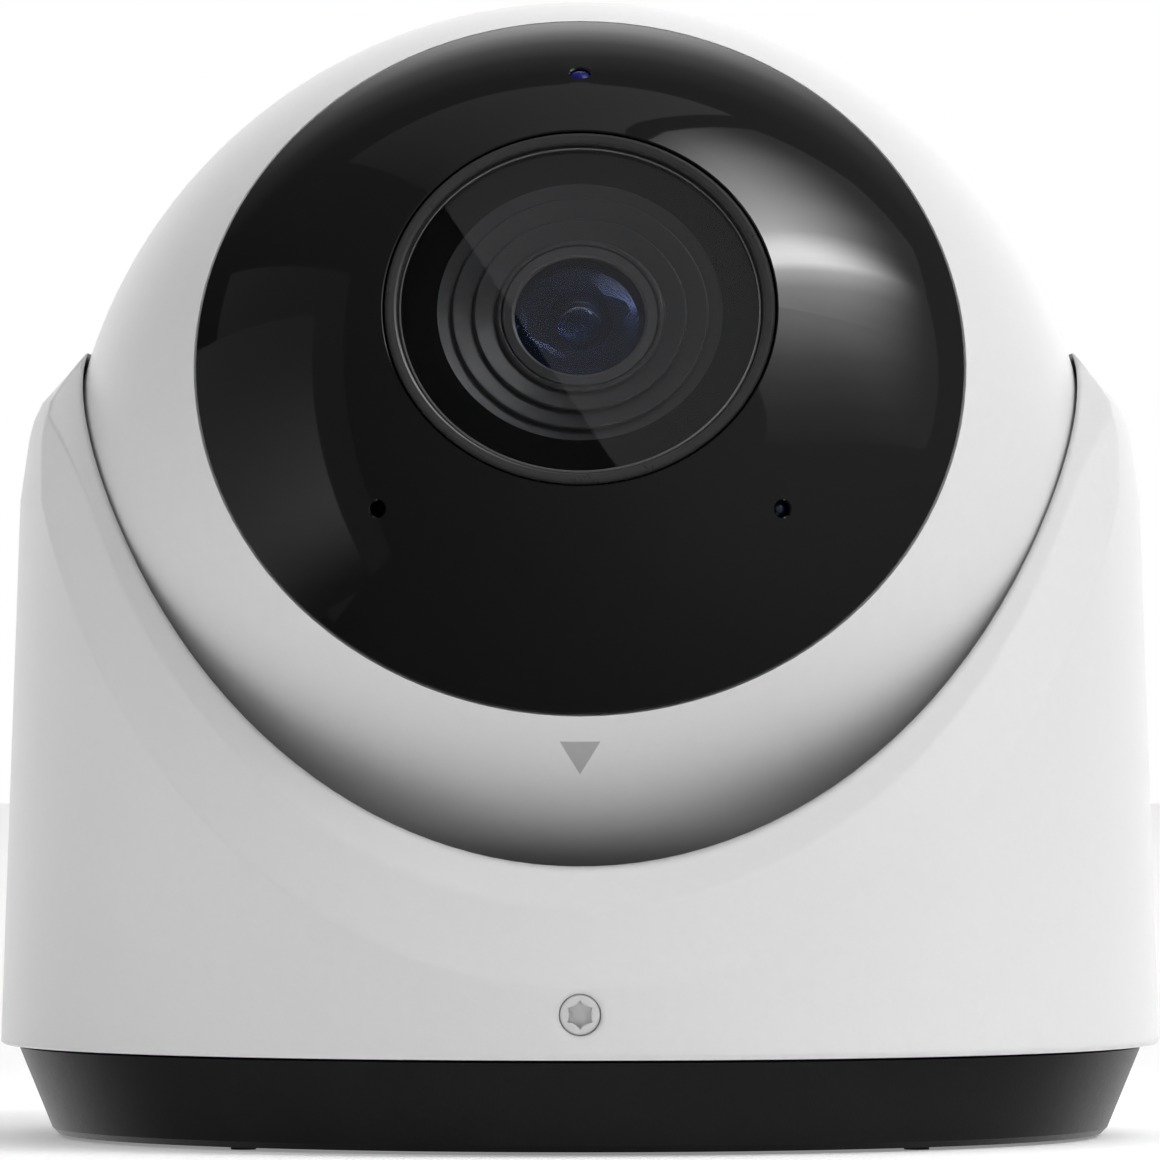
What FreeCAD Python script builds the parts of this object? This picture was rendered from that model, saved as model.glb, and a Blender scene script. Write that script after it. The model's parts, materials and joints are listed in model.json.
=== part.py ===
import FreeCAD, Part
import math
import os
from FreeCAD import Placement, Rotation, Vector

# Turret security camera, wall or ceiling type.  Millimetres, +Z up, the camera faces -Y.
# Z = 0 is the plane the feet stand on; X = Y = 0 is the axis of the round housing.

# ---- driving dimensions ----
BALL_R = 50.0            # eyeball
BALL_Z = 60.0            # height of the ball centre
AIM = 24.4               # elevation of the optical axis at rest, degrees
SOCKET_R = 50.35          # spherical socket in the cover
SEAT_R = 50.3            # spherical seat under the ball

FOOT_Z = 0.3             # underside of the base
BASE_TOP_Z = 8.7
COVER_Z = 9.0            # lower edge of the cover
WALL_R = 56.2            # cover radius at its lower edge
DRAFT = 0.0354           # inward slope of the cover wall
SHOULDER_Z = 61.5
RIM_Z = 75.9
LIP_Z, LIP_SLOPE = 89.8, 1.25         # slanted front lip: z = LIP_Z + LIP_SLOPE * y
BEVEL_Z, BEVEL_SLOPE = 81.6, 1.18     # where the bevel below the lip leaves the wall
LIP_INSET = 2.33
LIP_BEND_Y, LIP_BLEND_R = -24.0, 50.0    # where and how tightly the lip bends towards the rim

SHELL_T = 3.0            # ball shell wall
PARTING_Z = -6.0         # joint of the two ball shells, on the optical axis
REAR_Z = -40.0           # flat at the back of the ball
CAP_ANGLE = 47.0         # half angle of the black face
CAP_T = 2.0
LENS_HOLE_R = 18.5
WINDOW_Z = 45.15

LOCK_Z = 13.22           # height of the locking screw
LOCK_HEAD_R = 1.92
TWIST_STEPS = (90, 210, 330)          # bayonet lugs, degrees
WALL_SCREW_PCD = 80.0
WALL_SCREW_R = 2.3
CABLE_BORE_R = 3.1

ARC = "arc"
X_AXIS = Vector(1, 0, 0)
Z_AXIS = Vector(0, 0, 1)


# ---- helpers ----
def revolve(path, centre_z=0.0):
    """Solid of revolution about Z.  (r, z) draws a line, (r, z, ARC) an arc about the centre."""
    edges = []
    centre = Vector(0, 0, centre_z)
    for start, end in zip(path, path[1:] + path[:1]):
        a = Vector(start[0], 0, start[1])
        b = Vector(end[0], 0, end[1])
        if len(end) == 3:
            middle = (a + b) * 0.5 - centre
            middle = centre + middle.normalize() * (a - centre).Length
            edges.append(Part.Arc(a, middle, b).toShape())
        else:
            edges.append(Part.LineSegment(a, b).toShape())
    return Part.Face(Part.Wire(edges)).revolve(Vector(), Z_AXIS, 360)


def ring(r_in, r_out, z0, z1, start=0.0, sweep=360.0):
    """Flat ring, or a sector of one."""
    outer = Part.makeCylinder(r_out, z1 - z0, Vector(0, 0, z0), Z_AXIS, sweep)
    solid = outer.cut(Part.makeCylinder(r_in, z1 - z0, Vector(0, 0, z0)))
    solid.rotate(Vector(), Z_AXIS, start)
    return solid


def disc(r, z0, z1, x=0.0, y=0.0):
    return Part.makeCylinder(r, z1 - z0, Vector(x, y, z0))


def block(x, y, z0, z1, cx=0.0, cy=0.0):
    """Box centred on (cx, cy)."""
    return Part.makeBox(x, y, z1 - z0, Vector(cx - x / 2, cy - y / 2, z0))


def around(r, angles, make):
    """One compound of make(x, y) placed on a circle."""
    spots = [(r * math.cos(math.radians(a)), r * math.sin(math.radians(a))) for a in angles]
    return join([make(x, y) for x, y in spots])


def join(solids):
    if len(solids) == 1:
        return solids[0]
    return solids[0].multiFuse(solids[1:])


def polar(radius, angle):
    """Point (r, z) on a sphere at an angle from the optical axis."""
    return radius * math.sin(math.radians(angle)), radius * math.cos(math.radians(angle))


def sphere_z(radius, r):
    return math.sqrt(radius ** 2 - r ** 2)


def radial(shape, angle, azimuth):
    """Turn a shape that stands on the optical axis towards a point of the face."""
    shape.rotate(Vector(), Vector(0, 1, 0), angle)
    shape.rotate(Vector(), Z_AXIS, azimuth)
    return shape


def export(name, shape):
    shape.exportStep("parts/%s.step" % name)


def export_ball(name, shape):
    """Ball pieces are drawn on their optical axis and aimed here."""
    aimed = shape.copy()
    aimed.Placement = Placement(Vector(0, 0, BALL_Z), Rotation(X_AXIS, 90 - AIM)).multiply(aimed.Placement)
    export(name, aimed)


def wall_r(z):
    return WALL_R - DRAFT * (z - COVER_Z)


# ---- base ----
def mounting_base():
    body = revolve([
        (8, FOOT_Z), (50.6, FOOT_Z), (51.2, FOOT_Z + 0.6), (54.4, BASE_TOP_Z),
        (50.5, BASE_TOP_Z), (50.5, 14), (49, 14), (49, 4), (47.8, 2.8),
        (11, 2.8), (11, 4.0), (8, 4.0)])
    lugs = [ring(50.2, 52.9, 11.0, 12.6, a - 15, 30) for a in TWIST_STEPS]
    bosses = around(WALL_SCREW_PCD / 2, (45, 135, 225, 315), lambda x, y: disc(5.0, 1.5, 4.6, x, y))
    body = join([body, bosses] + lugs)
    for turn in range(0, 360, 45):
        rib = block(37, 1.6, 2.0, 4.0, 30)
        rib.rotate(Vector(), Z_AXIS, turn + 22.5)
        body = body.fuse(rib)
    holes = around(WALL_SCREW_PCD / 2, (45, 135, 225, 315),
                   lambda x, y: disc(WALL_SCREW_R, 0, 6, x, y))
    pads = join([disc(1.25, 0, 0.8, x, y) for x, y in foot_spots()])
    return body.cut(holes).cut(pads).removeSplitter()


def foot_spots():
    return [(sx * 31.7, sy * 35.8) for sx in (-1, 1) for sy in (-1, 1)]


def base_feet():
    return join([disc(1.2, 0, 0.8, x, y) for x, y in foot_spots()])


def cable_grommet():
    return revolve([
        (CABLE_BORE_R, 0.35), (7.95, 0.35), (7.95, 4.05), (9.6, 4.05), (8.8, 5.2), (4.6, 6.0),
        (CABLE_BORE_R, 6.0)])


# ---- housing ----
def cone_section(inset, height, slope):
    """Ellipse in which the plane z = height + slope * y cuts the wall cone."""
    top_r = WALL_R + DRAFT * COVER_Z - inset
    y_front = -(top_r - DRAFT * height) / (1 - DRAFT * slope)
    y_back = (top_r - DRAFT * height) / (1 + DRAFT * slope)
    front = Vector(0, y_front, height + slope * y_front)
    back = Vector(0, y_back, height + slope * y_back)
    centre = (front + back) * 0.5
    half_width = math.sqrt((top_r - DRAFT * centre.z) ** 2 - centre.y ** 2)
    ellipse = Part.Ellipse(front, centre + Vector(half_width, 0, 0), centre)
    return Part.Wire(ellipse.toShape())


def above_plane(height, slope):
    space = Part.makeBox(300, 400, 300, Vector(-150, -200, 0))
    space.rotate(Vector(), X_AXIS, math.degrees(math.atan(slope)))
    space.translate(Vector(0, 0, height))
    return space


def above_lip():
    """Everything above the rim and the lip, a slant that bends back in an arc up to the level rim."""
    slant = math.atan(LIP_SLOPE)
    bend_z = LIP_Z + LIP_SLOPE * LIP_BEND_Y
    centre_y = LIP_BEND_Y + LIP_BLEND_R * math.sin(slant)
    centre_z = bend_z - LIP_BLEND_R * math.cos(slant)
    rise = math.asin((RIM_Z - centre_z) / LIP_BLEND_R)

    def on_arc(angle):
        return Vector(-150, centre_y - LIP_BLEND_R * math.cos(angle),
                      centre_z + LIP_BLEND_R * math.sin(angle))

    low = math.pi / 2 - slant
    end, middle, start = on_arc(low), on_arc((low + rise) / 2), on_arc(rise)
    corners = [end, Vector(-150, -150, LIP_Z - 150 * LIP_SLOPE), Vector(-150, -150, 200),
               Vector(-150, 150, 200), Vector(-150, 150, RIM_Z), start]
    edges = [Part.LineSegment(a, b).toShape() for a, b in zip(corners, corners[1:])]
    edges.append(Part.Arc(start, middle, end).toShape())
    return Part.Face(Part.Wire(edges)).extrude(Vector(300, 0, 0))


def housing_cover():
    rim_r = math.sqrt(SOCKET_R ** 2 - (RIM_Z - BALL_Z) ** 2)
    shell = revolve([
        (rim_r, RIM_Z), (SOCKET_R, BALL_Z, ARC), (SOCKET_R, 24), (46.5, 24), (46.5, 19.5),
        (53.3, 19.5), (53.3, COVER_Z), (wall_r(COVER_Z) - 0.25, COVER_Z),
        (wall_r(COVER_Z + 0.25), COVER_Z + 0.25), (wall_r(SHOULDER_Z), SHOULDER_Z),
        (53.45, 67.6), (53.0, 69.3), (52.2, 71.0), (49.8, 73.7), (rim_r + 0.15, RIM_Z)], BALL_Z)
    wall = Part.makeCone(wall_r(0), wall_r(200), 200).cut(above_plane(BEVEL_Z, BEVEL_SLOPE))
    bevel = Part.makeLoft([cone_section(0, BEVEL_Z, BEVEL_SLOPE),
                           cone_section(LIP_INSET, LIP_Z, LIP_SLOPE)], True, True)
    shell = shell.common(wall.fuse(bevel)).cut(above_lip())
    hooks = [ring(51.0, 53.5, 9.4, 10.7, a - 15, 30) for a in TWIST_STEPS]
    boss = Part.makeBox(6.4, 2.6, 4.8, Vector(-3.2, -53.8, LOCK_Z - 2.4))
    shell = join([shell, boss] + hooks)
    for radius, near, far in ((2.0, 50, 54.2), (1.5, 54, 55), (LOCK_HEAD_R + 0.04, 54.4, 60)):
        shell = shell.cut(along_front(radius, near, far))
    pilots = around(49.6, TWIST_STEPS, lambda x, y: disc(1.1, 19, 23.4, x, y))
    return shell.cut(pilots)


def along_front(radius, near, far):
    """Rod pointing out of the front of the housing at the height of the locking screw."""
    return Part.makeCylinder(radius, far - near, Vector(0, -near, LOCK_Z), Vector(0, -1, 0))


def lock_insert():
    return along_front(1.98, 51.4, 54.15).cut(along_front(1.3, 51, 55))


def lock_screw():
    """Pan head with a six-pointed recess for a T10 key."""
    face = 56.0
    screw = along_front(LOCK_HEAD_R, face - 1.4, face)
    screw = screw.makeFillet(0.3, [e for e in screw.Edges if e.BoundBox.YMax < -face + 0.01])
    recess = along_front(1.37, face - 0.9, face)
    for turn in range(0, 360, 60):
        tooth = Part.makeCylinder(1.5, 0.9, Vector(2.52, -face + 0.9, LOCK_Z), Vector(0, -1, 0))
        tooth.rotate(Vector(0, 0, LOCK_Z), Vector(0, 1, 0), turn)
        recess = recess.cut(tooth)
    mouth = Part.makeCone(1.0, 1.16, 0.12, Vector(0, -face + 0.12, LOCK_Z), Vector(0, -1, 0))
    recess = recess.fuse(mouth)
    return screw.cut(recess).fuse(along_front(1.25, 50.9, face - 1.3))


def chassis_ring():
    body = revolve([(34, 17.5), (53.0, 17.5), (53.0, 19.5), (45.3, 19.5), (45.3, 25.5),
                    (43.3, 25.5), (43.3, 19.5), (34, 19.5)])
    holes = around(49.6, TWIST_STEPS, lambda x, y: disc(1.45, 17, 20, x, y))
    return body.cut(holes)


def chassis_screws():
    def screw(x, y):
        head = disc(2.2, 15.9, 17.5, x, y).cut(disc(0.9, 15.9, 16.9, x, y))
        return head.fuse(disc(1.08, 17.4, 23.0, x, y))
    return around(49.6, TWIST_STEPS, screw)


def friction_ring():
    return revolve([(36, 19.5), (42.8, 19.5), (42.8, 20.9), (42.5, 21.2), (36.3, 21.2), (36, 20.9)])


def seat_ring():
    low = math.sqrt(SEAT_R ** 2 - (BALL_Z - 21.5) ** 2)
    high = math.sqrt(SEAT_R ** 2 - (BALL_Z - 26.0) ** 2)
    body = revolve([(low, 21.5), (high, 26.0, ARC), (43, 26.0), (43, 21.5)], BALL_Z)
    for turn in range(0, 360, 60):
        slot = block(7, 1.6, 24.4, 27, 40.5)
        slot.rotate(Vector(), Z_AXIS, turn)
        body = body.cut(slot)
    return body

# ---- ball shells, drawn with the optical axis along +Z ----
BOSS_ANGLES = (45, 135, 225, 315)
BOSS_R = 40.5
CAP_SEAT_R = BALL_R - CAP_T - 0.4
MARK_ANGLE = 51.9


def front_shell():
    inner = BALL_R - SHELL_T
    body = revolve([
        polar(BALL_R, CAP_ANGLE) + (ARC,), polar(CAP_SEAT_R, CAP_ANGLE),
        polar(CAP_SEAT_R, 39) + (ARC,), polar(45.5, 39), polar(45.5, 50) + (ARC,),
        polar(inner, 50), (sphere_z(inner, PARTING_Z), PARTING_Z, ARC),
        (sphere_z(BALL_R, PARTING_Z), PARTING_Z)])

    def boss(x, y):
        web = block(9, 3, PARTING_Z, 5, 43.5)
        web.rotate(Vector(), Z_AXIS, math.degrees(math.atan2(y, x)))
        return disc(3.3, PARTING_Z, 6, x, y).fuse(web)

    bosses = around(BOSS_R, BOSS_ANGLES, boss)
    ledges = around(43.5, (0, 90, 180, 270), lambda x, y: ledge(x, y, 1.0, 4.0))
    inside = Part.makeSphere(inner + 0.4)
    body = join([body, bosses.common(inside), ledges.common(inside)])
    pilots = around(BOSS_R, BOSS_ANGLES, lambda x, y: disc(1.5, PARTING_Z, 5, x, y))
    ledge_pilots = around(42.0, (0, 90, 180, 270), lambda x, y: disc(1.1, 1.5, 4.0, x, y))
    return body.cut(pilots).cut(ledge_pilots).cut(direction_mark())


def ledge(x, y, z0, z1):
    pad = block(10, 9, z0, z1, 43.5)
    pad.rotate(Vector(), Z_AXIS, math.degrees(math.atan2(y, x)))
    return pad


def direction_mark():
    """Thin triangular inlay that points down, flush with the ball."""
    points = [Vector(-1.9, 1.7, 0), Vector(1.9, 1.7, 0), Vector(0, -1.75, 0)]
    prism = Part.Face(Part.makePolygon(points + points[:1])).extrude(Vector(0, 0, 10))
    prism.translate(Vector(0, 0, BALL_R - 5))
    prism.rotate(Vector(), X_AXIS, MARK_ANGLE)
    return prism.common(Part.makeSphere(BALL_R)).cut(Part.makeSphere(BALL_R - 0.5))


def rear_shell():
    inner = BALL_R - SHELL_T
    floor = REAR_Z + 2.8
    body = revolve([
        (sphere_z(BALL_R, PARTING_Z), PARTING_Z), (sphere_z(BALL_R, REAR_Z), REAR_Z, ARC),
        (8, REAR_Z), (8, floor), (sphere_z(inner, floor), floor),
        (sphere_z(inner, PARTING_Z), PARTING_Z, ARC)])
    bosses = around(BOSS_R, BOSS_ANGLES, lambda x, y: disc(4.3, -32, PARTING_Z, x, y))
    body = body.fuse(bosses.common(Part.makeSphere(BALL_R - 0.6)))
    body = body.cut(around(BOSS_R, BOSS_ANGLES, lambda x, y: disc(3.0, -50, -12, x, y)))
    body = body.cut(around(BOSS_R, BOSS_ANGLES, lambda x, y: disc(1.6, -13, PARTING_Z, x, y)))
    body = body.cut(ring(47.4, 48.8, PARTING_Z - 1.3, PARTING_Z))
    return body.cut(disc(0.9, REAR_Z - 1, floor + 1, *RESET_SPOT))


def shell_seal():
    return ring(47.45, 48.75, PARTING_Z - 1.25, PARTING_Z)


def shell_screws():
    def screw(x, y):
        head = disc(2.75, -15, -12, x, y).cut(disc(1.2, -15, -13.6, x, y))
        return head.fuse(disc(1.45, -12.1, 4.4, x, y))
    return around(BOSS_R, BOSS_ANGLES, screw)


# ---- black face ----
HOLE_ANGLE = 32.4
# Azimuth and radius of each port, height and rise of the dome of its insert.
PORTS = (("light_sensor", 90, 0.95, 49.7, 0.28), ("microphone", -135, 0.78, 48.4, 0.05),
         ("status_light_pipe", -45, 0.78, 49.1, 0.35))


def face_cap():
    edge = CAP_ANGLE - 0.17
    inner = BALL_R - CAP_T
    body = revolve([
        polar(BALL_R, edge - 0.25), (LENS_HOLE_R + 0.13, sphere_z(BALL_R, LENS_HOLE_R + 0.13), ARC),
        (LENS_HOLE_R, sphere_z(BALL_R, LENS_HOLE_R) - 0.15), (LENS_HOLE_R, sphere_z(inner, LENS_HOLE_R)),
        polar(inner, edge) + (ARC,), polar(BALL_R - 0.2, edge)])
    for _, azimuth, radius, _, _ in PORTS:
        hole = disc(radius, 44, 54).fuse(Part.makeCone(radius, radius + 1.1, 1.1, Vector(0, 0, 49.86)))
        body = body.cut(radial(hole, HOLE_ANGLE, azimuth))
    return body


def cap_gasket():
    return revolve([polar(CAP_SEAT_R, 40), polar(CAP_SEAT_R, 46.5) + (ARC,),
                    polar(BALL_R - CAP_T, 46.5), polar(BALL_R - CAP_T, 40) + (ARC,)])


def port_insert(azimuth, radius, height, rise):
    body = disc(1.35, 40.2, 47.9).fuse(dome(radius - 0.05, 47.8, height, rise))
    return radial(body, HOLE_ANGLE, azimuth)


# ---- lens ----
def lens_bezel():
    return revolve([(16.98, 41.5), (18.3, 41.5), (18.3, 46.26), (18.16, 46.46), (17.95, 46.5),
                    (17.45, 46.48), (17.26, 46.4), (17.18, 46.2), (17.18, 45.6), (16.98, 45.5)])


def lens_window():
    return revolve([(0, WINDOW_Z), (16.95, WINDOW_Z), (16.95, WINDOW_Z + 0.68),
                    (16.8, WINDOW_Z + 0.85), (0, WINDOW_Z + 0.85)])


def window_mask():
    """Black border behind the window."""
    return ring(13.4, 16.88, 45.02, 45.13)


def lens_hood():
    """Saw-tooth baffle rings round the lens."""
    rings = [(16.9, 45.0), (13.45, 45.0), (13.3, 44.92), (12.1, 44.45), (12.05, 44.8), (11.93, 44.9),
             (10.05, 44.2), (10.0, 44.55), (9.88, 44.66), (8.0, 43.95), (7.9, 44.25), (7.75, 44.35),
             (7.55, 44.35), (7.4, 44.2)]
    return revolve(rings + [(7.4, 37), (9.4, 37), (9.4, 40), (20.5, 40), (20.5, 41.45),
                            (16.9, 41.45)])


def lens_barrel():
    """Thread at the rear, aperture stop behind the front lens."""
    outside = [(7.3, 43.8), (7.3, 28), (6.0, 27), (6.0, 16.5)]
    bore = [(4.4, 16.5), (4.4, 17.9), (4.75, 18), (4.75, 41.5), (2.95, 41.5), (2.8, 41.65),
            (2.8, 42.2), (2.95, 42.38), (6.15, 42.38), (6.15, 43.8)]
    return revolve(outside + bore)


def dome(rim_r, z0, z_rim, rise):
    """Lens with a flat back and a domed front."""
    radius = (rim_r ** 2 + rise ** 2) / (2 * rise)
    ball = Part.makeSphere(radius, Vector(0, 0, z_rim + rise - radius))
    return disc(rim_r, z0, z_rim + rise).common(ball)


def meniscus():
    """Front lens, strongly hollowed at the back."""
    hollow_r, hollow_radius = 2.75, 3.3
    depth = hollow_radius - (hollow_radius ** 2 - hollow_r ** 2) ** 0.5
    hollow = Part.makeSphere(hollow_radius, Vector(0, 0, 42.4 + depth - hollow_radius))
    return dome(6.1, 42.4, 43.3, 1.65).cut(hollow)


def hollow_lens():
    """Second lens, hollow towards the front."""
    return disc(4.65, 38.2, 41.3).cut(Part.makeSphere(4.5, Vector(0, 0, 44.86)))


def lens_lock_ring():
    return revolve([(6.15, 43.82), (7.3, 43.82), (7.3, 44.15), (7.2, 44.25), (6.4, 44.25), (6.15, 44.1)])


def lens_holder():
    body = block(30, 20, 10.3, 17).fuse(disc(8.6, 17, 26))
    body = body.cut(disc(6.05, 15.9, 27)).cut(block(25.2, 11, 12.1, 16))
    return body.cut(block(15, 13, 10, 12.2))


def ircut_coil():
    core = Part.makeCylinder(2.6, 12, Vector(-6, 13.0, 13.6), X_AXIS)
    cheeks = [block(1.2, 6, 10.6, 16.6, x, 13.0) for x in (-6.6, 6.6)]
    return join([core] + cheeks)


SLIDER_X = -3.75


def ircut_frame():
    body = block(15.6, 9.4, 13.2, 14.6, SLIDER_X)
    for x in (0.0, 2 * SLIDER_X):
        body = body.cut(block(6.2, 7.4, 12, 16, x)).cut(block(6.8, 8.0, 13.9, 16, x))
    return body


def slider_glass(x):
    return block(6.7, 7.9, 13.95, 14.5, x)


# ---- electronics ----
RESET_SPOT = (0.0, -21.0)
BOARD_Z = -9.0


def image_sensor():
    return block(12, 10, 10.25, 11.0).fuse(block(9, 7, 11.0, 11.3))


def sensor_board():
    corners = around(22.6, BOSS_ANGLES, lambda x, y: disc(1.3, 8, 11, x, y))
    return block(38, 38, 8.6, 10.2).common(disc(25, 8, 11)).cut(corners)


def led_board():
    return ring(20, 30.5, 31.4, 33.0)


def ir_leds():
    def led(x, y):
        base = block(3.5, 3.5, 33.0, 33.9, x, y)
        lens = Part.makeSphere(1.5, Vector(x, y, 33.9)).common(disc(1.5, 33.8, 36, x, y))
        return base.fuse(lens)
    return around(25.6, (15, 50, 130, 165, 250, 290), led)


def led_standoffs():
    def post(x, y):
        hexagon = [Vector(x + 2.2 * math.cos(math.radians(a)), y + 2.2 * math.sin(math.radians(a)), 6)
                   for a in range(0, 361, 60)]
        return Part.Face(Part.makePolygon(hexagon)).extrude(Vector(0, 0, 25.4))
    return around(28.0, (30, 150, 270), post)


def heat_bracket():
    plate = disc(37, 4, 6)
    for turn in (0, 90, 180, 270):
        ear = block(12, 8, 4, 6, 38.5)
        ear.rotate(Vector(), Z_AXIS, turn)
        plate = plate.fuse(ear)
    posts = around(22.6, BOSS_ANGLES, lambda x, y: disc(2.4, 6, 8.6, x, y))
    spacers = around(32.0, BOSS_ANGLES, lambda x, y: disc(2.6, BOARD_Z + 1.6, 4, x, y))
    body = join([plate, posts, spacers, block(14, 14, -5.0, 4.0)])
    windows = around(27, (0, 90, 180, 270), lambda x, y: disc(5.0, 3, 7, x, y))
    pilots = around(32.0, BOSS_ANGLES, lambda x, y: disc(1.1, BOARD_Z, -2.0, x, y))
    ears = around(42.0, (0, 90, 180, 270), lambda x, y: disc(1.45, 3, 7, x, y))
    return body.cut(windows).cut(pilots).cut(ears)


def main_board():
    body = disc(36, BOARD_Z, BOARD_Z + 1.6)
    for side in (-1, 1):
        body = body.cut(block(20, 60, BOARD_Z - 1, BOARD_Z + 3, side * 43))
    holes = around(32.0, BOSS_ANGLES, lambda x, y: disc(1.45, BOARD_Z - 1, BOARD_Z + 2, x, y))
    return body.cut(holes)


def processor():
    return block(15, 15, BOARD_Z + 1.6, BOARD_Z + 3.0)


def thermal_pad():
    return block(13, 13, BOARD_Z + 3.0, -5.0)


def poe_transformer():
    coil = block(13, 12, BOARD_Z - 8, BOARD_Z - 1, 14, 12)
    feet = [block(1.2, 14, BOARD_Z - 2, BOARD_Z, 14 + x, 12) for x in (-4.5, -1.5, 1.5, 4.5)]
    return join([coil] + feet)


def harness_header():
    body = block(16, 6, BOARD_Z - 6, BOARD_Z, -12, 10)
    body = body.cut(block(14.4, 4.4, BOARD_Z - 7, BOARD_Z - 1.5, -12, 10))
    pins = [block(0.6, 0.6, BOARD_Z - 5, BOARD_Z - 1, -12 + x, 10) for x in (-6, -4, -2, 0, 2, 4, 6)]
    return join([body] + pins)


def board_screws():
    def up(x, y):
        head = disc(2.2, BOARD_Z - 1.5, BOARD_Z, x, y).cut(disc(0.9, BOARD_Z - 2, BOARD_Z - 0.7, x, y))
        return head.fuse(disc(1.05, BOARD_Z - 0.1, BOARD_Z + 5.5, x, y))

    def down(x, y):
        head = disc(2.2, 6, 7.5, x, y).cut(disc(0.9, 6.7, 8, x, y))
        return head.fuse(disc(1.05, 1.6, 6.1, x, y))
    return join([around(32.0, BOSS_ANGLES, up), around(42.0, (0, 90, 180, 270), down)])


def reset_switch():
    body = block(5, 5, BOARD_Z - 2, BOARD_Z, *RESET_SPOT)
    return body.cut(disc(1.3, BOARD_Z - 3, BOARD_Z - 0.5, *RESET_SPOT))


def reset_button():
    return disc(1.0, BOARD_Z - 2.9, BOARD_Z - 1.1, *RESET_SPOT)


# ---- cable gland on the roll axis ----
def cable_gland():
    return revolve([
        (3.1, -47.0), (4.3, -47.0), (4.8, -46.4), (5.6, -44.0), (10.2, -42.6), (10.2, -41.2),
        (7.7, -41.2), (7.7, -33.0), (3.1, -33.0)])


def gland_seal():
    return ring(7.75, 9.6, -41.15, -40.3)


def gland_nut():
    points = [Vector(10.2 * math.cos(math.radians(a)), 10.2 * math.sin(math.radians(a)), -36.8)
              for a in range(0, 361, 60)]
    return Part.Face(Part.makePolygon(points)).extrude(Vector(0, 0, 3.2)).cut(disc(7.72, -38, -33))


os.makedirs("parts", exist_ok=True)

for build in (mounting_base, base_feet, cable_grommet, housing_cover, lock_insert, lock_screw,
              chassis_ring, chassis_screws, friction_ring, seat_ring):
    export(build.__name__, build())

for build in (front_shell, direction_mark, rear_shell, shell_seal, shell_screws, face_cap,
              cap_gasket, lens_bezel, lens_window, window_mask, lens_hood, lens_barrel, lens_lock_ring,
              lens_holder, ircut_coil, ircut_frame, image_sensor, sensor_board, led_board, ir_leds,
              led_standoffs, heat_bracket, main_board, processor, thermal_pad, poe_transformer,
              harness_header, board_screws, reset_switch, reset_button, cable_gland, gland_seal,
              gland_nut):
    export_ball(build.__name__, build())

export_ball("lens_front_glass", meniscus())
export_ball("lens_middle_glass", hollow_lens())
export_ball("lens_rear_glass", dome(4.7, 18.1, 19.4, 0.6))
export_ball("ircut_filter_glass", slider_glass(0.0))
export_ball("ircut_clear_glass", slider_glass(2 * SLIDER_X))
export_ball("ircut_magnet", block(5, 1.6, 12.4, 13.15, SLIDER_X, 3.9))
for name, azimuth, radius, height, rise in PORTS:
    export_ball(name, port_insert(azimuth, radius, height, rise))
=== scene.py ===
import json
import math
import bpy
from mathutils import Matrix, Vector

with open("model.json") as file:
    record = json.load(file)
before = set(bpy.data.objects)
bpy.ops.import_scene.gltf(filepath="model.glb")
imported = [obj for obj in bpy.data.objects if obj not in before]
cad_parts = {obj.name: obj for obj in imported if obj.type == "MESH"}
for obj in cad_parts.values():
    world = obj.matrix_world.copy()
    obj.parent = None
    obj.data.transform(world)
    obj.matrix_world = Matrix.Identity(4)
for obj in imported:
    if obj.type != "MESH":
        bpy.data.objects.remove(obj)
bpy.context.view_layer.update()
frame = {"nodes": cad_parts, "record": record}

BALL = Vector((0.0, 0.0, 0.060))
AIM = math.radians(24.4)
EYE_DISTANCE = 1.1662
EYE_HEIGHT = 0.0447
PITCH = math.radians(0.452)
LENS_MM = 372.4
OPTICAL_AXIS = (0.0, -math.cos(AIM), math.sin(AIM))

WINDOW_FACE = 0.95        # a window normal closer to the optical axis than this is on its flat face
COATING_SHARE = 0.004     # part of the lens reflection that its coating scatters softly
COATING_ROUGHNESS = 0.22
FLOOR_SIDE, FLOOR_POINTS = 6.0, 15
FLOOR_GLOW = (0.24, 0.08)         # close to the object and far from it
FLOOR_GLOW_SPAN = (0.05, 0.22)    # distances between which it changes


# ---- camera ----
def make_camera():
    data = bpy.data.cameras.new("camera")
    data.lens = LENS_MM
    data.sensor_width = 36.0
    data.clip_start = 0.01
    data.clip_end = 50.0
    camera = bpy.data.objects.new("camera", data)
    camera.location = (0.0, -EYE_DISTANCE, EYE_HEIGHT)
    camera.rotation_euler = (math.pi / 2 + PITCH, 0.0, 0.0)
    bpy.context.scene.collection.objects.link(camera)
    bpy.context.scene.camera = camera


# ---- node helpers ----
class Nodes:
    """Short way to build a node tree."""

    def __init__(self, tree):
        self.tree = tree
        self.tree.nodes.clear()

    def add(self, kind, links=(), **values):
        node = self.tree.nodes.new(kind)
        for key, value in values.items():
            setattr(node, key, value)
        for name, source in links:
            socket = node.inputs[name]
            if isinstance(source, bpy.types.NodeSocket):
                self.tree.links.new(source, socket)
            else:
                socket.default_value = source
        return node

    def ramp(self, factor, stops):
        node = self.add("ShaderNodeValToRGB", [("Fac", factor)])
        elements = node.color_ramp.elements
        while len(elements) < len(stops):
            elements.new(0.5)
        for element, (place, value) in zip(elements, stops):
            element.position = place
            element.color = value if len(value) == 4 else (*value, 1.0)
        return node.outputs["Color"]

    def noise(self, vector, scale, detail=3.0, rough=0.5):
        node = self.add("ShaderNodeTexNoise", [("Vector", vector), ("Scale", scale),
                                               ("Detail", detail), ("Roughness", rough)])
        return node.outputs["Fac"]


def grey(value):
    return (value, value, value, 1.0)


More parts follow.
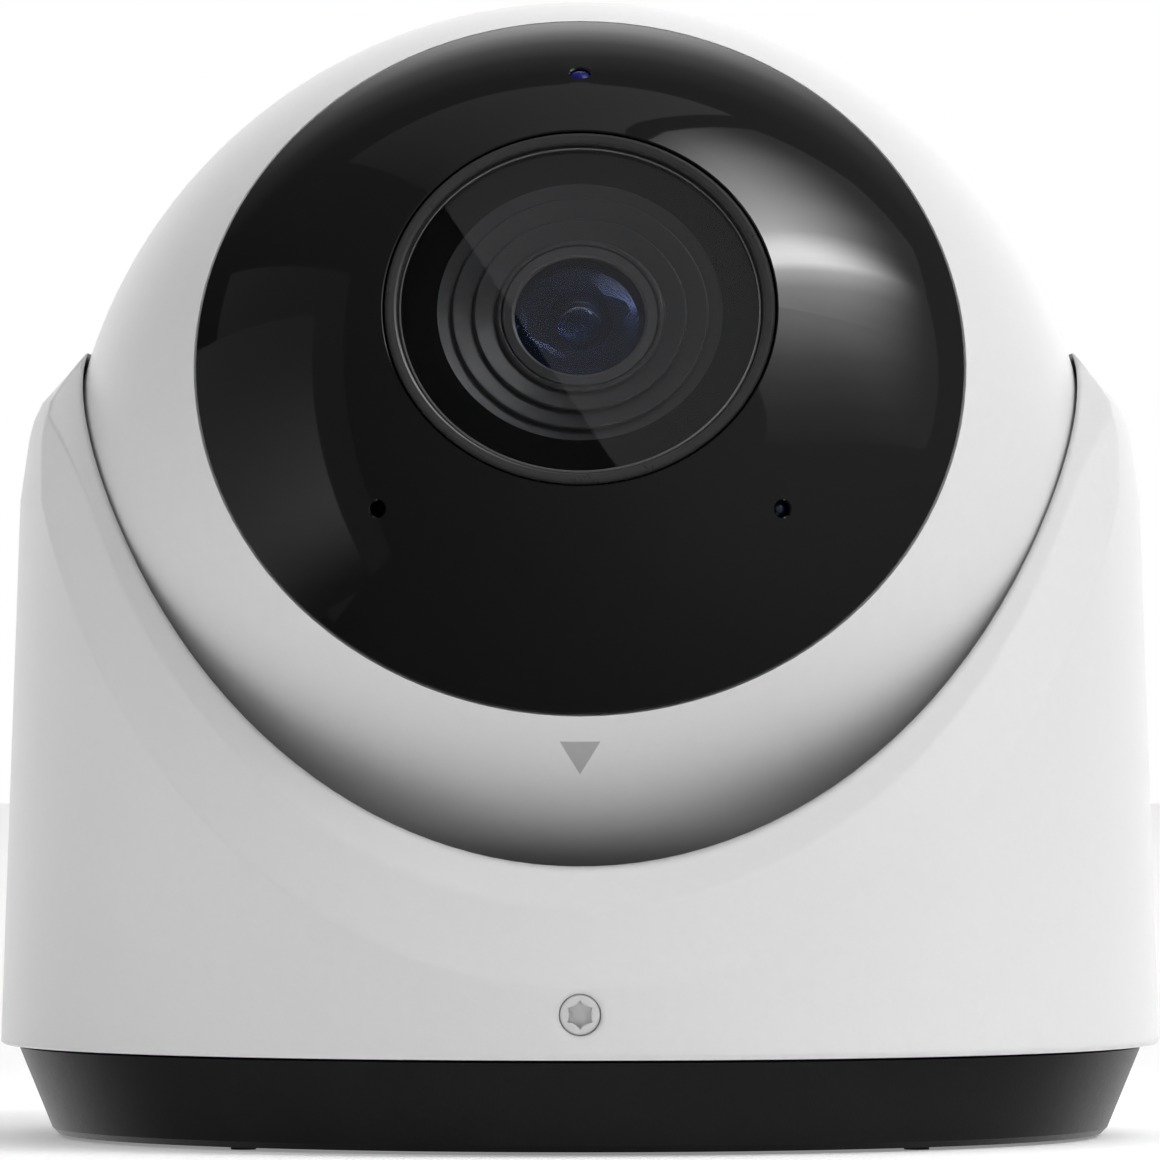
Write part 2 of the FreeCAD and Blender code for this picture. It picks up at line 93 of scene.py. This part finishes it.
def new_material(name):
    material = bpy.data.materials.new(name)
    material.use_nodes = True
    return material, Nodes(material.node_tree)


def surface(name, low, high, rough=(0.4, 0.5), grain=600.0, bump=0.04, bump_scale=1500.0,
            depth=0.0001, metallic=0.0, specular=0.5, coat=0.0, coat_rough=0.1, soften=0.0,
            ior=1.5, painted_inside_shade=None):
    """Painted, moulded or metal surface: tone, roughness and height all vary with noise. Given a shade tone,
    the faces that look inwards to the vertical axis take that tone: a painted shade that stands in for the
    dark gap between the ball and the cover."""
    material, n = new_material(name)
    coordinates = n.add("ShaderNodeTexCoord")
    place = coordinates.outputs["Object"]
    broad = n.noise(place, grain * 0.06, 4.0)
    fine = n.noise(place, grain, 6.0, 0.6)
    blend = n.add("ShaderNodeMath", [(0, broad), (1, fine)], operation="MULTIPLY_ADD")
    blend.inputs[2].default_value = 0.2
    tone = n.ramp(blend.outputs[0], [(0.25, low), (0.7, high)])
    # painted shade: faces that look inwards get the dark tone, standing in for the shadowed gap round the
    # ball
    if painted_inside_shade:
        tone = paint_inward_shade(n, coordinates, tone, painted_inside_shade)
    roughness = n.add("ShaderNodeMapRange", [("Value", fine), ("To Min", rough[0]),
                                             ("To Max", rough[1])]).outputs[0]
    height = n.noise(place, bump_scale, 3.0, 0.55)
    if soften:
        base_normal = n.add("ShaderNodeBevel", [("Radius", soften)], samples=8).outputs[0]
        links = [("Height", height), ("Strength", bump), ("Distance", depth), ("Normal", base_normal)]
    else:
        links = [("Height", height), ("Strength", bump), ("Distance", depth)]
    normal = n.add("ShaderNodeBump", links).outputs[0]
    shader = n.add("ShaderNodeBsdfPrincipled", [
        ("Base Color", tone), ("Roughness", roughness), ("Normal", normal),
        ("Metallic", metallic), ("Specular IOR Level", specular), ("IOR", ior),
        ("Coat Weight", coat), ("Coat Roughness", coat_rough)])
    n.add("ShaderNodeOutputMaterial", [("Surface", shader.outputs[0])])
    return material


def paint_inward_shade(n, coordinates, outer, inner):
    """Outer tone on faces that look away from the vertical axis, the painted shade tone on the others."""
    flat = n.add("ShaderNodeVectorMath", [(0, coordinates.outputs["Object"]), (1, (1.0, 1.0, 0.0))],
                 operation="MULTIPLY")
    radial = n.add("ShaderNodeVectorMath", [(0, flat.outputs[0])], operation="NORMALIZE")
    facing = n.add("ShaderNodeVectorMath", [(0, radial.outputs[0]), (1, coordinates.outputs["Normal"])],
                   operation="DOT_PRODUCT")
    amount = n.add("ShaderNodeMapRange", [("Value", facing.outputs["Value"]), ("From Min", -0.1),
                                          ("From Max", 0.05)])
    mix = n.add("ShaderNodeMix", data_type="RGBA")
    n.tree.links.new(amount.outputs[0], mix.inputs[0])
    mix.inputs[6].default_value = inner
    n.tree.links.new(outer, mix.inputs[7])
    return mix.outputs[2]


def glass(name, tint, ior=1.5, rough=0.0, sheen=(1.0, 1.0, 1.0), ground=False, bloom=None):
    """Clear glass that lets lamps through; sheen scales the colour of its reflections.
    With ground, the chamfer and the edge of the window are frosted. With bloom, a soft highlight
    of that colour lies over the coated surface."""
    material, n = new_material(name)
    shader = n.add("ShaderNodeBsdfPrincipled", [
        ("Base Color", (*tint, 1.0)), ("Roughness", rough), ("IOR", ior),
        ("Transmission Weight", 1.0), ("Specular Tint", (*sheen, 1.0))]).outputs[0]
    if ground:
        coordinates = n.add("ShaderNodeTexCoord")
        facing = n.add("ShaderNodeVectorMath", [(0, coordinates.outputs["Normal"]), (1, OPTICAL_AXIS)],
                       operation="DOT_PRODUCT")
        flat = n.add("ShaderNodeMath", [(0, facing.outputs["Value"])], operation="ABSOLUTE")
        edge = n.add("ShaderNodeMath", [(0, flat.outputs[0]), (1, WINDOW_FACE)], operation="LESS_THAN")
        grain = n.noise(coordinates.outputs["Object"], 3000.0)
        frost_tone = n.ramp(grain, [(0.2, grey(0.24)), (0.8, grey(0.34))])
        frost = n.add("ShaderNodeBsdfDiffuse", [("Color", frost_tone)])
        mixed = n.add("ShaderNodeMixShader", [("Fac", edge.outputs[0])])
        n.tree.links.new(shader, mixed.inputs[1])
        n.tree.links.new(frost.outputs[0], mixed.inputs[2])
        shader = mixed.outputs[0]
    if bloom:
        coating = n.add("ShaderNodeBsdfGlossy", [("Color", (*bloom, 1.0)), ("Roughness", COATING_ROUGHNESS)])
        mixed = n.add("ShaderNodeMixShader", [("Fac", COATING_SHARE)])
        n.tree.links.new(shader, mixed.inputs[1])
        n.tree.links.new(coating.outputs[0], mixed.inputs[2])
        shader = mixed.outputs[0]
    clear = n.add("ShaderNodeBsdfTransparent", [("Color", (*tint, 1.0))])
    shadow = n.add("ShaderNodeLightPath").outputs["Is Shadow Ray"]
    mixed = n.add("ShaderNodeMixShader", [("Fac", shadow)])
    n.tree.links.new(shader, mixed.inputs[1])
    n.tree.links.new(clear.outputs[0], mixed.inputs[2])
    n.add("ShaderNodeOutputMaterial", [("Surface", mixed.outputs[0])])
    return material


# ---- materials ----
def make_materials():
    return {
        # white paint, with a painted shade of grey 0.03 on its inward faces for the dark gap round the ball
        "white_paint": surface("white_paint", grey(0.80), grey(0.83), (0.42, 0.5), 900, 0.10, 2600,
                               soften=0.001, specular=0.4, painted_inside_shade=grey(0.03)),
        "white_ball": surface("white_ball", grey(0.80), grey(0.83), (0.36, 0.42), 700, 0.05, 2200,
                              specular=0.45),
        "dark_base": surface("dark_base", grey(0.012), grey(0.018), (0.42, 0.55), 1400, 0.2, 3800,
                             specular=0.35),
        "black_face": surface("black_face", grey(0.0025), grey(0.0035), (0.03, 0.05), 500, 0.01, 900,
                              depth=0.00004, specular=0.5, ior=1.586),
        "bezel_black": surface("bezel_black", grey(0.026), grey(0.034), (0.25, 0.32), 900, 0.05, 2500),
        "hood_black": surface("hood_black", grey(0.011), grey(0.014), (0.36, 0.42), 900, 0.05, 2500,
                              specular=0.42, soften=0.00018),
        "stop_black": surface("stop_black", grey(0.0015), grey(0.0025), (0.6, 0.7), 900, 0.1, 2500,
                              specular=0.05),
        "lens_metal": surface("lens_metal", grey(0.02), grey(0.03), (0.3, 0.4), 900, 0.05, 2500),
        "glass": glass("glass", (0.97, 0.98, 1.0), sheen=(0.65, 0.65, 0.67), ground=True),
        "lens_glass": glass("lens_glass", (0.95, 0.96, 1.0), 1.6, 0.0, (0.015, 0.05, 0.2),
                            bloom=(0.12, 0.3, 1.0)),
        "mask_black": surface("mask_black", grey(0.002), grey(0.003), (0.5, 0.6), 900, 0.0, 2500,
                              specular=0.05),
        "glass_red": glass("glass_red", (0.8, 0.45, 0.45)),
        "rubber_black": surface("rubber_black", grey(0.012), grey(0.02), (0.6, 0.75), 900, 0.2, 2500),
        "rubber_grey": surface("rubber_grey", grey(0.1), grey(0.14), (0.6, 0.75), 900, 0.2, 2500),
        "acetal": surface("acetal", grey(0.012), grey(0.018), (0.35, 0.45), 900, 0.1, 2500),
        "steel": surface("steel", grey(0.5), grey(0.6), (0.25, 0.35), 900, 0.1, 2500, metallic=1.0),
        "screw_white": surface("screw_white", grey(0.70), grey(0.74), (0.22, 0.28), 900, 0.05, 2500,
                               coat=0.6, coat_rough=0.12, soften=0.00008),
        "brass": surface("brass", (0.6, 0.42, 0.16), (0.7, 0.5, 0.2), (0.25, 0.35), 900, 0.1, 2500,
                         metallic=1.0),
        "aluminium": surface("aluminium", grey(0.55), grey(0.65), (0.35, 0.5), 900, 0.2, 1500,
                             metallic=1.0),
        "board_green": surface("board_green", (0.01, 0.08, 0.03), (0.015, 0.12, 0.05), (0.3, 0.4),
                               900, 0.1, 2500),
        "chip_black": surface("chip_black", grey(0.015), grey(0.02), (0.5, 0.6), 900, 0.1, 2500),
        "sensor": surface("sensor", (0.04, 0.02, 0.06), (0.06, 0.04, 0.1), (0.1, 0.15), 900, 0.02,
                          2500),
        "led": surface("led", grey(0.5), (0.65, 0.65, 0.5), (0.1, 0.2), 900, 0.02, 2500),
        "light_pipe": surface("light_pipe", (0.004, 0.006, 0.02), (0.006, 0.01, 0.04), (0.05, 0.08), 900,
                              0.02, 2500, coat=1.0),
        "dark_lens": surface("dark_lens", (0.004, 0.006, 0.1), (0.006, 0.009, 0.15), (0.22, 0.28), 900,
                             0.02, 2500, specular=0.25),
        "connector": surface("connector", (0.6, 0.56, 0.45), (0.68, 0.64, 0.52), (0.4, 0.5), 900, 0.1,
                             2500),
        "transformer": surface("transformer", grey(0.015), grey(0.025), (0.2, 0.3), 900, 0.1, 2500),
        "mark_grey": surface("mark_grey", grey(0.46), grey(0.52), (0.45, 0.55), 900, 0.1, 2500),
        "copper": surface("copper", (0.5, 0.2, 0.08), (0.65, 0.28, 0.12), (0.25, 0.35), 900, 0.1, 2500,
                          metallic=1.0),
        "seat_grey": surface("seat_grey", grey(0.3), grey(0.36), (0.7, 0.8), 900, 0.1, 2500),
    }


def dress(materials):
    for part in frame["record"]["subparts"]:
        node = frame["nodes"][part["node"]]
        for slot in node.material_slots:
            slot.material = materials[part["material_slot"]]


# ---- stage and light ----
def add_mesh(name, vertices, faces, material, smooth=True):
    mesh = bpy.data.meshes.new(name)
    mesh.from_pydata(vertices, [], faces)
    mesh.materials.append(material)
    for polygon in mesh.polygons:
        polygon.use_smooth = smooth
    mesh.update()
    thing = bpy.data.objects.new(name, mesh)
    bpy.context.scene.collection.objects.link(thing)
    return thing


def grid_faces(columns, rows):
    return [(r * columns + c, r * columns + c + 1, (r + 1) * columns + c + 1, (r + 1) * columns + c)
            for r in range(rows - 1) for c in range(columns - 1)]


def make_floor():
    """Pale floor with a faint glow of its own, strongest round the object."""
    material, n = new_material("floor")
    place = n.add("ShaderNodeTexCoord").outputs["Object"]
    tone = n.ramp(n.noise(place, 6.0, 3.0), [(0.3, grey(0.93)), (0.7, grey(0.95))])
    away = n.add("ShaderNodeVectorMath", [(0, place)], operation="LENGTH").outputs["Value"]
    lit = n.add("ShaderNodeMapRange", [("Value", away), ("From Min", FLOOR_GLOW_SPAN[0]),
                                       ("From Max", FLOOR_GLOW_SPAN[1]),
                                       ("To Min", FLOOR_GLOW[0]), ("To Max", FLOOR_GLOW[1])])
    shader = n.add("ShaderNodeBsdfPrincipled", [("Base Color", tone), ("Roughness", 0.9),
                                                ("Specular IOR Level", 0.1),
                                                ("Emission Color", grey(1.0)),
                                                ("Emission Strength", lit.outputs[0])])
    n.add("ShaderNodeOutputMaterial", [("Surface", shader.outputs[0])])
    steps = [FLOOR_SIDE * (i / (FLOOR_POINTS - 1) - 0.5) for i in range(FLOOR_POINTS)]
    floor = add_mesh("floor", [(x, y, 0.0) for y in steps for x in steps],
                     grid_faces(FLOOR_POINTS, FLOOR_POINTS), material)
    floor.visible_glossy = False


def sky(azimuth, elevation):
    """Unit direction; azimuth 0 is towards the camera, 90 to the right of it."""
    a, e = math.radians(azimuth), math.radians(elevation)
    return Vector((math.sin(a) * math.cos(e), -math.cos(a) * math.cos(e), math.sin(e)))


def ceiling(right, toward):
    """Unit direction to a spot on a ceiling one unit above the ball."""
    return Vector((right, -toward, 1.0)).normalized()


def smooth_step(low, high, value):
    t = min(max((value - low) / (high - low), 0.0), 1.0)
    return t * t * (3.0 - 2.0 * t)


def along(stops, value):
    """Piecewise linear curve through (place, value) stops."""
    if value <= stops[0][0]:
        return stops[0][1]
    for (x0, y0), (x1, y1) in zip(stops, stops[1:]):
        if value <= x1:
            return y0 + (y1 - y0) * (value - x0) / (x1 - x0)
    return stops[-1][1]


def glow_material():
    material, n = new_material("panel_glow")
    glow = n.add("ShaderNodeAttribute", attribute_name="glow").outputs["Fac"]
    lamp = n.add("ShaderNodeEmission", [("Color", grey(1.0)), ("Strength", glow)])
    n.add("ShaderNodeOutputMaterial", [("Surface", lamp.outputs[0])])
    return material


def panel(name, material, rows, columns, spot, glow, radius):
    """Diffuser on a sphere round the ball; spot(s, t) gives its direction, glow(s, t) its radiance."""
    steps = [(c / (columns - 1), r / (rows - 1)) for r in range(rows) for c in range(columns)]
    thing = add_mesh(name, [BALL + radius * spot(s, t) for s, t in steps],
                     grid_faces(columns, rows), material)
    layer = thing.data.attributes.new("glow", "FLOAT", "POINT")
    layer.data.foreach_set("value", [glow(s, t) for s, t in steps])
    thing.visible_camera = False
    thing.visible_shadow = False


# The key light is a large diffuser seen from below, turned 45 degrees in plan. Across it u runs
# from its far edge to its near edge and v from its rear end to its front end.
KEY_U = (0.07, 4.0)
KEY_REAR = [(0.07, -0.56), (0.24, -0.92), (0.48, -1.26), (0.84, -1.42), (1.2, -1.65), (1.8, -2.02),
            (3.0, -2.7), (4.0, -3.2)]
KEY_FRONT = [(0.07, 0.0), (0.5, 0.0), (0.7, -0.3), (0.9, -0.3), (1.2, -0.1), (2.0, 0.0), (4.0, 0.2)]
KEY_GLOW = [(0.07, 1.0), (0.13, 1.7), (0.24, 3.7), (0.36, 6.0), (0.48, 7.4), (0.6, 10.4), (0.68, 16.0),
            (0.78, 18.5), (0.84, 9.3), (0.96, 5.1), (1.2, 3.2), (1.44, 2.1), (1.68, 1.28), (2.04, 0.84),
            (2.64, 0.56), (4.0, 0.38)]
KEY_FADE = [(0.07, 0.3), (0.24, 0.7), (0.36, 0.93), (0.6, 1.13), (0.84, 0.85), (1.2, 1.1)]
KEY_STEEPNESS = [(0.7, 1.9), (0.84, 1.4)]
KEY_RADIUS = 3.0
KEY_EDGE = 0.42
KEY_POWER = 0.70
ROOT_HALF = math.sqrt(0.5)


def key_uv(s, t):
    u = KEY_U[0] * (KEY_U[1] / KEY_U[0]) ** t
    rear, front = along(KEY_REAR, u), along(KEY_FRONT, u)
    return u, rear + (front - rear) * s, rear


def key_spot(s, t):
    u, v, rear = key_uv(s, t)
    return ceiling((u - v) * ROOT_HALF, (u + v) * ROOT_HALF)


def key_glow(s, t):
    u, v, rear = key_uv(s, t)
    fade = smooth_step(-0.05, along(KEY_FADE, u), v - rear) ** along(KEY_STEEPNESS, u)
    return (KEY_EDGE + (along(KEY_GLOW, u) - KEY_EDGE) * fade) * KEY_POWER


def quad(corners):
    """Directions of a flat panel from its corners: lower left, lower right, upper left, upper right."""
    low_left, low_right, high_left, high_right = corners
    return lambda s, t: low_left.lerp(low_right, s).lerp(high_left.lerp(high_right, s), t).normalized()


OVERHEAD_LEFT = [(-0.36, -0.65), (0.07, -0.48), (0.8205, -0.0247), (0.8813, 0.006), (1.2, 0.2)]
OVERHEAD_RIGHT = [(-0.36, 0.38), (-0.1, 0.12), (0.2, 0.12), (0.82, 0.3), (1.2, 0.5)]
OVERHEAD_RADIUS = 1.2


def overhead_spot(s, t):
    toward = OVERHEAD_LEFT[0][0] + (OVERHEAD_LEFT[-1][0] - OVERHEAD_LEFT[0][0]) * t
    left, right = along(OVERHEAD_LEFT, toward), along(OVERHEAD_RIGHT, toward)
    return Vector((left + (right - left) * s, -toward, 1.0))


AMBIENT = (0.01, 1.14)           # at the horizon and overhead
AMBIENT_SIDES = (0.85, 0.95)     # factor on the left and on the right
REAR_AMBIENT = [(0.2, grey(0.0)), (0.55, grey(0.2)), (0.9, grey(0.5))]
# What polished surfaces mirror: a bright backdrop behind the object, and a dim room round it.
BACKDROP = [(0.45, grey(0.0)), (0.56, grey(0.08)), (0.66, grey(0.32)), (0.73, grey(0.75)),
            (0.8, grey(1.35)), (0.95, grey(1.6))]
ROOM = [(0.2, grey(0.036)), (0.36, grey(0.075)), (0.48, grey(0.09)), (0.65, grey(0.115)),
        (0.8, grey(0.155)), (0.93, grey(0.22)), (1.0, grey(0.25))]


def make_world():
    world = bpy.data.worlds.new("studio")
    bpy.context.scene.world = world
    world.use_nodes = True
    n = Nodes(world.node_tree)
    path = n.add("ShaderNodeLightPath")
    direction = n.add("ShaderNodeTexCoord").outputs["Generated"]
    split = n.add("ShaderNodeSeparateXYZ", [("Vector", direction)])
    behind = n.ramp(split.outputs["Y"], BACKDROP)
    bright_side = n.add("ShaderNodeVectorMath", [(0, direction), (1, sky(50, 25))],
                        operation="DOT_PRODUCT")
    shifted = n.add("ShaderNodeMapRange", [("Value", bright_side.outputs["Value"]), ("From Min", -1.0),
                                           ("From Max", 1.0)])
    around = n.ramp(shifted.outputs[0], ROOM)
    upper_front = n.add("ShaderNodeVectorMath", [(0, direction), (1, sky(0, 55))],
                        operation="DOT_PRODUCT")
    dimmed = n.add("ShaderNodeMapRange", [("Value", upper_front.outputs["Value"]), ("From Min", 0.8),
                                          ("From Max", 0.93), ("To Min", 1.0), ("To Max", 0.1)])
    around = n.add("ShaderNodeVectorMath", [(0, around), ("Scale", dimmed.outputs[0])],
                   operation="SCALE").outputs[0]
    room = n.add("ShaderNodeVectorMath", [(0, around), (1, behind)], operation="ADD").outputs[0]
    height = n.ramp(split.outputs["Z"], [(0.0, grey(AMBIENT[0])), (1.0, grey(AMBIENT[1]))])
    rear = n.ramp(split.outputs["Y"], REAR_AMBIENT)
    height = n.add("ShaderNodeVectorMath", [(0, height), (1, rear)], operation="ADD").outputs[0]
    side = n.add("ShaderNodeMapRange", [("Value", split.outputs["X"]), ("From Min", -1.0),
                                        ("To Min", AMBIENT_SIDES[0]), ("To Max", AMBIENT_SIDES[1])])
    ambient = n.add("ShaderNodeBackground", [("Color", height), ("Strength", side.outputs[0])])
    mirrored = n.add("ShaderNodeBackground", [("Color", room), ("Strength", 1.0)])
    seen = n.add("ShaderNodeBackground", [("Color", grey(1.0)), ("Strength", 1.0)])
    inner = n.add("ShaderNodeMixShader", [("Fac", path.outputs["Is Glossy Ray"])])
    outer = n.add("ShaderNodeMixShader", [("Fac", path.outputs["Is Camera Ray"])])
    n.tree.links.new(ambient.outputs[0], inner.inputs[1])
    n.tree.links.new(mirrored.outputs[0], inner.inputs[2])
    n.tree.links.new(inner.outputs[0], outer.inputs[1])
    n.tree.links.new(seen.outputs[0], outer.inputs[2])
    n.add("ShaderNodeOutputWorld", [("Surface", outer.outputs[0])])


def overhead_glow(s, t):
    return 0.14 + 0.2 * s + 0.2 * smooth_step(0.4, 0.8, t)


def left_glow(s, t):
    lower_right = 0.4 * s * smooth_step(0.9, 0.1, t)
    return 0.08 + (0.09 + 0.1 * (1.0 - t) + lower_right) * smooth_step(0.02, 0.38, t)


def make_light():
    make_world()
    glow = glow_material()
    panel("key_panel", glow, 61, 25, key_spot, key_glow, KEY_RADIUS)
    left = quad([sky(-92, -26), sky(-47, -13), sky(-112, 19), sky(-74.8, 36.3)])
    panel("left_panel", glow, 25, 13, left, left_glow, 2.6)
    fill = quad([sky(-58, -20), sky(-42, -8), sky(-111.8, 33.2), sky(-72.8, 45.4)])
    panel("fill_panel", glow, 13, 5, fill, lambda s, t: 0.13, 2.8)
    panel("overhead_panel", glow, 79, 5, overhead_spot, overhead_glow, OVERHEAD_RADIUS)


make_camera()
dress(make_materials())
make_floor()
make_light()
bpy.context.scene.view_settings.view_transform = "Standard"
